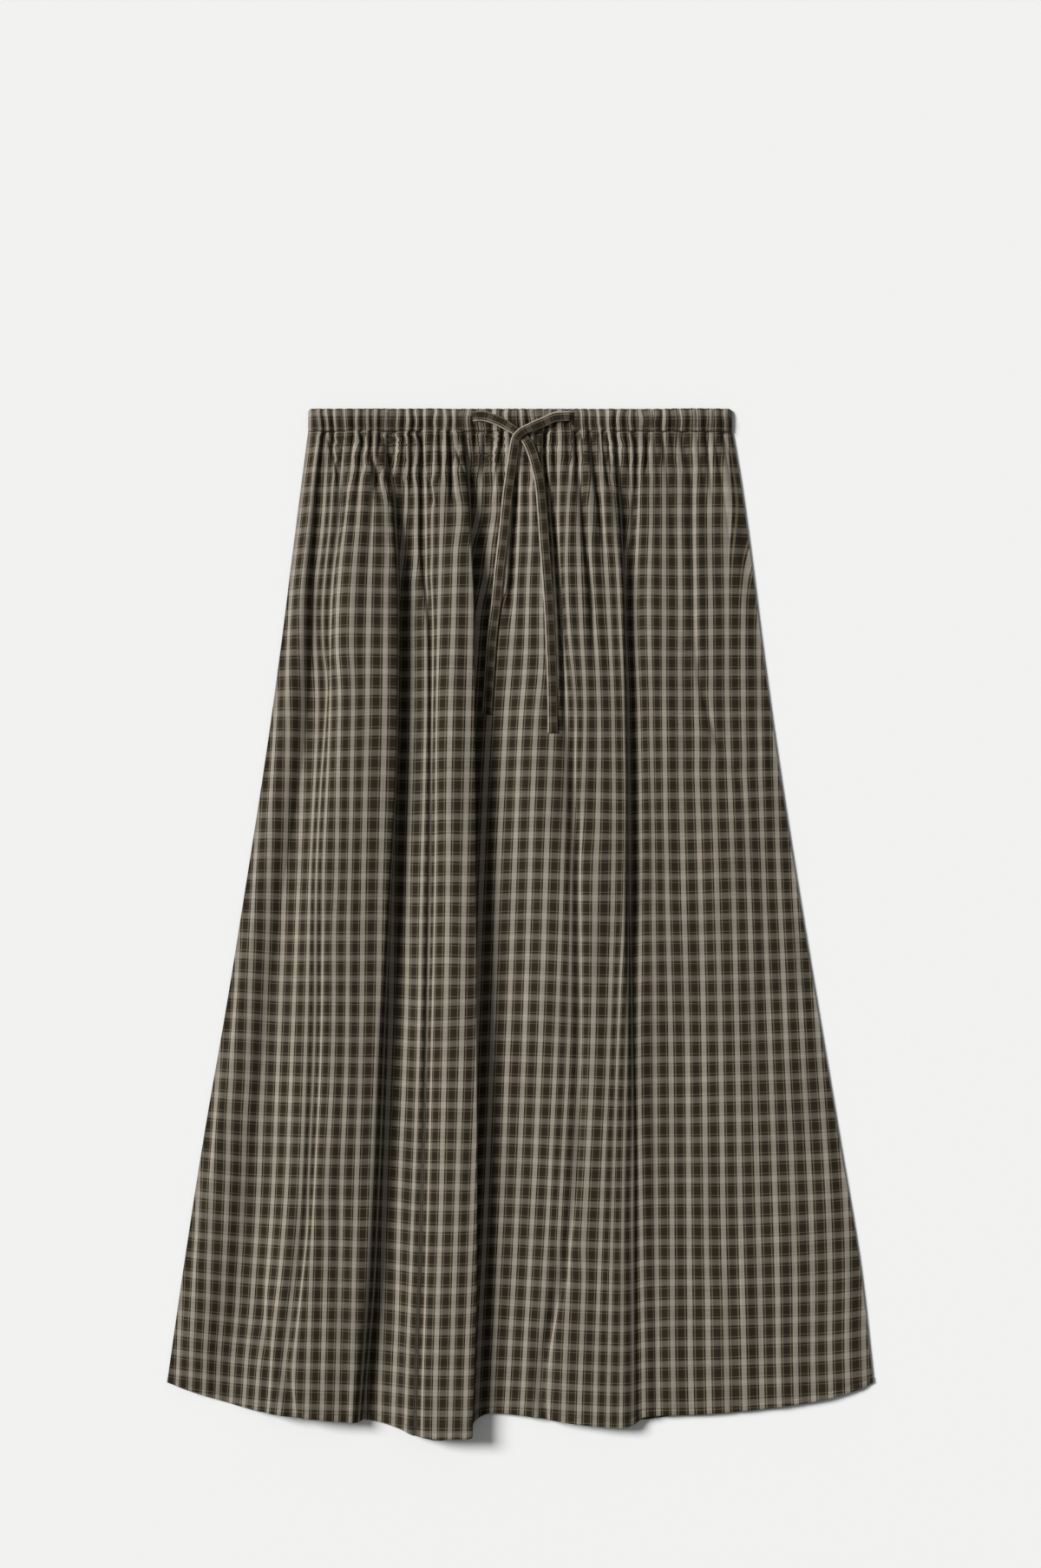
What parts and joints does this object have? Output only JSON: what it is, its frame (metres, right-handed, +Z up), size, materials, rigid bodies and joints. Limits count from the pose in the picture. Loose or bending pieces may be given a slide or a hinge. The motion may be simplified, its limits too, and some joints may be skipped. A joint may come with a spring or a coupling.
{
  "type": "midi skirt",
  "caption": "A-line midi skirt in small check cloth, laid flat, with a gathered elastic waistband and a tied drawstring.",
  "frame": {"origin": "on the surface the skirt lies on, under the middle of its box", "axes": "+X across the skirt to the right, +Y from the hem up to the waistband, +Z up off the surface, front side up"},
  "size_m": [0.575, 0.8405, 0.0183],
  "materials": {
    "cloth_front": "woven check, matte",
    "cloth_back": "woven check, matte",
    "waistband": "gathered woven check, matte",
    "drawstring": "flat woven tape, matte"
  },
  "bodies": {
    "root": {"front_panel": "cloth_front", "back_panel": "cloth_back", "waistband_front": "waistband", "waistband_back": "waistband", "drawstring_left": "drawstring", "drawstring_right": "drawstring"}
  },
  "joints": []
}
